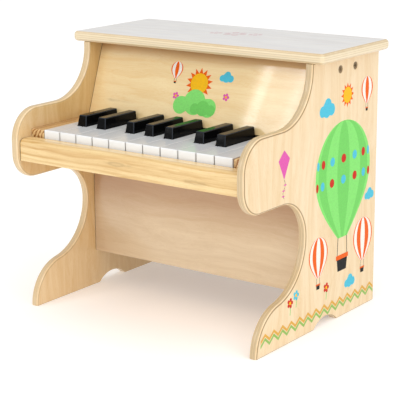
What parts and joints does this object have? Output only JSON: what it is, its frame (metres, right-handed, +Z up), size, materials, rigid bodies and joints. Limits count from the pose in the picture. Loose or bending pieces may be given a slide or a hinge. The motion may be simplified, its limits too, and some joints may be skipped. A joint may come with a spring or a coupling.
{
  "type": "toy piano",
  "caption": "Small upright toy piano: wooden case with scroll-cut sides, lid and leaning fallboard; plastic keys rock and swing hammers up to steel chime rods.",
  "frame": {"origin": "on the floor, at the middle of the overall box", "axes": "+X from the bass end to the treble end, +Y from the player to the back, +Z up"},
  "size_m": [0.352, 0.276, 0.316],
  "materials": {
    "birch_ply": "clear gloss lacquer",
    "pine": "clear satin lacquer",
    "white_plastic": "gloss",
    "black_plastic": "gloss",
    "action_plastic": "moulded",
    "steel": "drawn",
    "dark_steel": "black oxide",
    "cast_iron": "as cast",
    "felt": "wool felt"
  },
  "bodies": {
    "cabinet": {"left_side_panel": "birch_ply", "right_side_panel": "birch_ply", "top_lid": "birch_ply", "fallboard": "birch_ply", "lower_front_panel": "birch_ply", "back_panel": "birch_ply", "key_slip": "pine", "key_bed": "birch_ply", "left_key_block": "pine", "right_key_block": "pine", "top_beam": "pine", "side_screws": "dark_steel", "back_screws": "dark_steel", "pivot_comb": "action_plastic", "key_pivot_rod": "steel", "guide_pins": "steel", "stop_felts": "felt", "rest_rail": "pine", "rest_felt": "felt", "hammer_comb": "action_plastic", "hammer_pivot_rod": "steel", "tone_bar": "cast_iron", "tone_bar_bolts": "dark_steel", "chime_rods": "steel"},
    "key_01_c": {"key_01_c": "white_plastic"},
    "hammer_01_c": {"hammer_01_c": "action_plastic"},
    "key_02_c_sharp": {"key_02_c_sharp": "black_plastic"},
    "hammer_02_c_sharp": {"hammer_02_c_sharp": "action_plastic"},
    "key_03_d": {"key_03_d": "white_plastic"},
    "hammer_03_d": {"hammer_03_d": "action_plastic"},
    "key_04_d_sharp": {"key_04_d_sharp": "black_plastic"},
    "hammer_04_d_sharp": {"hammer_04_d_sharp": "action_plastic"},
    "key_05_e": {"key_05_e": "white_plastic"},
    "hammer_05_e": {"hammer_05_e": "action_plastic"},
    "key_06_f": {"key_06_f": "white_plastic"},
    "hammer_06_f": {"hammer_06_f": "action_plastic"},
    "key_07_f_sharp": {"key_07_f_sharp": "black_plastic"},
    "hammer_07_f_sharp": {"hammer_07_f_sharp": "action_plastic"},
    "key_08_g": {"key_08_g": "white_plastic"},
    "hammer_08_g": {"hammer_08_g": "action_plastic"},
    "key_09_g_sharp": {"key_09_g_sharp": "black_plastic"},
    "hammer_09_g_sharp": {"hammer_09_g_sharp": "action_plastic"},
    "key_10_a": {"key_10_a": "white_plastic"},
    "hammer_10_a": {"hammer_10_a": "action_plastic"},
    "key_11_a_sharp": {"key_11_a_sharp": "black_plastic"},
    "hammer_11_a_sharp": {"hammer_11_a_sharp": "action_plastic"},
    "key_12_b": {"key_12_b": "white_plastic"},
    "hammer_12_b": {"hammer_12_b": "action_plastic"},
    "key_13_c": {"key_13_c": "white_plastic"},
    "hammer_13_c": {"hammer_13_c": "action_plastic"},
    "key_14_c_sharp": {"key_14_c_sharp": "black_plastic"},
    "hammer_14_c_sharp": {"hammer_14_c_sharp": "action_plastic"},
    "key_15_d": {"key_15_d": "white_plastic"},
    "hammer_15_d": {"hammer_15_d": "action_plastic"},
    "key_16_d_sharp": {"key_16_d_sharp": "black_plastic"},
    "hammer_16_d_sharp": {"hammer_16_d_sharp": "action_plastic"},
    "key_17_e": {"key_17_e": "white_plastic"},
    "hammer_17_e": {"hammer_17_e": "action_plastic"},
    "key_18_f": {"key_18_f": "white_plastic"},
    "hammer_18_f": {"hammer_18_f": "action_plastic"}
  },
  "joints": [
    {"name": "key_01_c_press", "type": "hinge", "parent": "cabinet", "child": "key_01_c", "pos_m": [-0.1248, 0.0078, 0.208], "axis": [1, 0, 0], "range_deg": [0, 3.3], "stiffness_Nm_per_rad": 0.25, "springref_deg": -3.44},
    {"name": "hammer_01_c_swing", "type": "hinge", "parent": "cabinet", "child": "hammer_01_c", "pos_m": [-0.1248, 0.1058, 0.224], "axis": [-1, 0, 0], "range_deg": [0, 14.85]},
    {"name": "key_02_c_sharp_press", "type": "hinge", "parent": "cabinet", "child": "key_02_c_sharp", "pos_m": [-0.1104, 0.0078, 0.208], "axis": [1, 0, 0], "range_deg": [0, 3.3], "stiffness_Nm_per_rad": 0.25, "springref_deg": -3.44},
    {"name": "hammer_02_c_sharp_swing", "type": "hinge", "parent": "cabinet", "child": "hammer_02_c_sharp", "pos_m": [-0.1104, 0.1058, 0.224], "axis": [-1, 0, 0], "range_deg": [0, 14.85]},
    {"name": "key_03_d_press", "type": "hinge", "parent": "cabinet", "child": "key_03_d", "pos_m": [-0.096, 0.0078, 0.208], "axis": [1, 0, 0], "range_deg": [0, 3.3], "stiffness_Nm_per_rad": 0.25, "springref_deg": -3.44},
    {"name": "hammer_03_d_swing", "type": "hinge", "parent": "cabinet", "child": "hammer_03_d", "pos_m": [-0.096, 0.1058, 0.224], "axis": [-1, 0, 0], "range_deg": [0, 14.85]},
    {"name": "key_04_d_sharp_press", "type": "hinge", "parent": "cabinet", "child": "key_04_d_sharp", "pos_m": [-0.0816, 0.0078, 0.208], "axis": [1, 0, 0], "range_deg": [0, 3.3], "stiffness_Nm_per_rad": 0.25, "springref_deg": -3.44},
    {"name": "hammer_04_d_sharp_swing", "type": "hinge", "parent": "cabinet", "child": "hammer_04_d_sharp", "pos_m": [-0.0816, 0.1058, 0.224], "axis": [-1, 0, 0], "range_deg": [0, 14.85]},
    {"name": "key_05_e_press", "type": "hinge", "parent": "cabinet", "child": "key_05_e", "pos_m": [-0.0672, 0.0078, 0.208], "axis": [1, 0, 0], "range_deg": [0, 3.3], "stiffness_Nm_per_rad": 0.25, "springref_deg": -3.44},
    {"name": "hammer_05_e_swing", "type": "hinge", "parent": "cabinet", "child": "hammer_05_e", "pos_m": [-0.0672, 0.1058, 0.224], "axis": [-1, 0, 0], "range_deg": [0, 14.85]},
    {"name": "key_06_f_press", "type": "hinge", "parent": "cabinet", "child": "key_06_f", "pos_m": [-0.05314, 0.0078, 0.208], "axis": [1, 0, 0], "range_deg": [0, 3.3], "stiffness_Nm_per_rad": 0.25, "springref_deg": -3.44},
    {"name": "hammer_06_f_swing", "type": "hinge", "parent": "cabinet", "child": "hammer_06_f", "pos_m": [-0.05314, 0.1058, 0.224], "axis": [-1, 0, 0], "range_deg": [0, 14.85]},
    {"name": "key_07_f_sharp_press", "type": "hinge", "parent": "cabinet", "child": "key_07_f_sharp", "pos_m": [-0.03943, 0.0078, 0.208], "axis": [1, 0, 0], "range_deg": [0, 3.3], "stiffness_Nm_per_rad": 0.25, "springref_deg": -3.44},
    {"name": "hammer_07_f_sharp_swing", "type": "hinge", "parent": "cabinet", "child": "hammer_07_f_sharp", "pos_m": [-0.03943, 0.1058, 0.224], "axis": [-1, 0, 0], "range_deg": [0, 14.85]},
    {"name": "key_08_g_press", "type": "hinge", "parent": "cabinet", "child": "key_08_g", "pos_m": [-0.02571, 0.0078, 0.208], "axis": [1, 0, 0], "range_deg": [0, 3.3], "stiffness_Nm_per_rad": 0.25, "springref_deg": -3.44},
    {"name": "hammer_08_g_swing", "type": "hinge", "parent": "cabinet", "child": "hammer_08_g", "pos_m": [-0.02571, 0.1058, 0.224], "axis": [-1, 0, 0], "range_deg": [0, 14.85]},
    {"name": "key_09_g_sharp_press", "type": "hinge", "parent": "cabinet", "child": "key_09_g_sharp", "pos_m": [-0.012, 0.0078, 0.208], "axis": [1, 0, 0], "range_deg": [0, 3.3], "stiffness_Nm_per_rad": 0.25, "springref_deg": -3.44},
    {"name": "hammer_09_g_sharp_swing", "type": "hinge", "parent": "cabinet", "child": "hammer_09_g_sharp", "pos_m": [-0.012, 0.1058, 0.224], "axis": [-1, 0, 0], "range_deg": [0, 14.85]},
    {"name": "key_10_a_press", "type": "hinge", "parent": "cabinet", "child": "key_10_a", "pos_m": [0.00171, 0.0078, 0.208], "axis": [1, 0, 0], "range_deg": [0, 3.3], "stiffness_Nm_per_rad": 0.25, "springref_deg": -3.44},
    {"name": "hammer_10_a_swing", "type": "hinge", "parent": "cabinet", "child": "hammer_10_a", "pos_m": [0.00171, 0.1058, 0.224], "axis": [-1, 0, 0], "range_deg": [0, 14.85]},
    {"name": "key_11_a_sharp_press", "type": "hinge", "parent": "cabinet", "child": "key_11_a_sharp", "pos_m": [0.01543, 0.0078, 0.208], "axis": [1, 0, 0], "range_deg": [0, 3.3], "stiffness_Nm_per_rad": 0.25, "springref_deg": -3.44},
    {"name": "hammer_11_a_sharp_swing", "type": "hinge", "parent": "cabinet", "child": "hammer_11_a_sharp", "pos_m": [0.01543, 0.1058, 0.224], "axis": [-1, 0, 0], "range_deg": [0, 14.85]},
    {"name": "key_12_b_press", "type": "hinge", "parent": "cabinet", "child": "key_12_b", "pos_m": [0.02914, 0.0078, 0.208], "axis": [1, 0, 0], "range_deg": [0, 3.3], "stiffness_Nm_per_rad": 0.25, "springref_deg": -3.44},
    {"name": "hammer_12_b_swing", "type": "hinge", "parent": "cabinet", "child": "hammer_12_b", "pos_m": [0.02914, 0.1058, 0.224], "axis": [-1, 0, 0], "range_deg": [0, 14.85]},
    {"name": "key_13_c_press", "type": "hinge", "parent": "cabinet", "child": "key_13_c", "pos_m": [0.0432, 0.0078, 0.208], "axis": [1, 0, 0], "range_deg": [0, 3.3], "stiffness_Nm_per_rad": 0.25, "springref_deg": -3.44},
    {"name": "hammer_13_c_swing", "type": "hinge", "parent": "cabinet", "child": "hammer_13_c", "pos_m": [0.0432, 0.1058, 0.224], "axis": [-1, 0, 0], "range_deg": [0, 14.85]},
    {"name": "key_14_c_sharp_press", "type": "hinge", "parent": "cabinet", "child": "key_14_c_sharp", "pos_m": [0.0576, 0.0078, 0.208], "axis": [1, 0, 0], "range_deg": [0, 3.3], "stiffness_Nm_per_rad": 0.25, "springref_deg": -3.44},
    {"name": "hammer_14_c_sharp_swing", "type": "hinge", "parent": "cabinet", "child": "hammer_14_c_sharp", "pos_m": [0.0576, 0.1058, 0.224], "axis": [-1, 0, 0], "range_deg": [0, 14.85]},
    {"name": "key_15_d_press", "type": "hinge", "parent": "cabinet", "child": "key_15_d", "pos_m": [0.072, 0.0078, 0.208], "axis": [1, 0, 0], "range_deg": [0, 3.3], "stiffness_Nm_per_rad": 0.25, "springref_deg": -3.44},
    {"name": "hammer_15_d_swing", "type": "hinge", "parent": "cabinet", "child": "hammer_15_d", "pos_m": [0.072, 0.1058, 0.224], "axis": [-1, 0, 0], "range_deg": [0, 14.85]},
    {"name": "key_16_d_sharp_press", "type": "hinge", "parent": "cabinet", "child": "key_16_d_sharp", "pos_m": [0.0864, 0.0078, 0.208], "axis": [1, 0, 0], "range_deg": [0, 3.3], "stiffness_Nm_per_rad": 0.25, "springref_deg": -3.44},
    {"name": "hammer_16_d_sharp_swing", "type": "hinge", "parent": "cabinet", "child": "hammer_16_d_sharp", "pos_m": [0.0864, 0.1058, 0.224], "axis": [-1, 0, 0], "range_deg": [0, 14.85]},
    {"name": "key_17_e_press", "type": "hinge", "parent": "cabinet", "child": "key_17_e", "pos_m": [0.1008, 0.0078, 0.208], "axis": [1, 0, 0], "range_deg": [0, 3.3], "stiffness_Nm_per_rad": 0.25, "springref_deg": -3.44},
    {"name": "hammer_17_e_swing", "type": "hinge", "parent": "cabinet", "child": "hammer_17_e", "pos_m": [0.1008, 0.1058, 0.224], "axis": [-1, 0, 0], "range_deg": [0, 14.85]},
    {"name": "key_18_f_press", "type": "hinge", "parent": "cabinet", "child": "key_18_f", "pos_m": [0.12, 0.0078, 0.208], "axis": [1, 0, 0], "range_deg": [0, 3.3], "stiffness_Nm_per_rad": 0.25, "springref_deg": -3.44},
    {"name": "hammer_18_f_swing", "type": "hinge", "parent": "cabinet", "child": "hammer_18_f", "pos_m": [0.12, 0.1058, 0.224], "axis": [-1, 0, 0], "range_deg": [0, 14.85]}
  ],
  "couplings": [
    {"joint": "hammer_01_c_swing", "follows": "key_01_c_press", "ratio": 4.5},
    {"joint": "hammer_02_c_sharp_swing", "follows": "key_02_c_sharp_press", "ratio": 4.5},
    {"joint": "hammer_03_d_swing", "follows": "key_03_d_press", "ratio": 4.5},
    {"joint": "hammer_04_d_sharp_swing", "follows": "key_04_d_sharp_press", "ratio": 4.5},
    {"joint": "hammer_05_e_swing", "follows": "key_05_e_press", "ratio": 4.5},
    {"joint": "hammer_06_f_swing", "follows": "key_06_f_press", "ratio": 4.5},
    {"joint": "hammer_07_f_sharp_swing", "follows": "key_07_f_sharp_press", "ratio": 4.5},
    {"joint": "hammer_08_g_swing", "follows": "key_08_g_press", "ratio": 4.5},
    {"joint": "hammer_09_g_sharp_swing", "follows": "key_09_g_sharp_press", "ratio": 4.5},
    {"joint": "hammer_10_a_swing", "follows": "key_10_a_press", "ratio": 4.5},
    {"joint": "hammer_11_a_sharp_swing", "follows": "key_11_a_sharp_press", "ratio": 4.5},
    {"joint": "hammer_12_b_swing", "follows": "key_12_b_press", "ratio": 4.5},
    {"joint": "hammer_13_c_swing", "follows": "key_13_c_press", "ratio": 4.5},
    {"joint": "hammer_14_c_sharp_swing", "follows": "key_14_c_sharp_press", "ratio": 4.5},
    {"joint": "hammer_15_d_swing", "follows": "key_15_d_press", "ratio": 4.5},
    {"joint": "hammer_16_d_sharp_swing", "follows": "key_16_d_sharp_press", "ratio": 4.5},
    {"joint": "hammer_17_e_swing", "follows": "key_17_e_press", "ratio": 4.5},
    {"joint": "hammer_18_f_swing", "follows": "key_18_f_press", "ratio": 4.5}
  ]
}
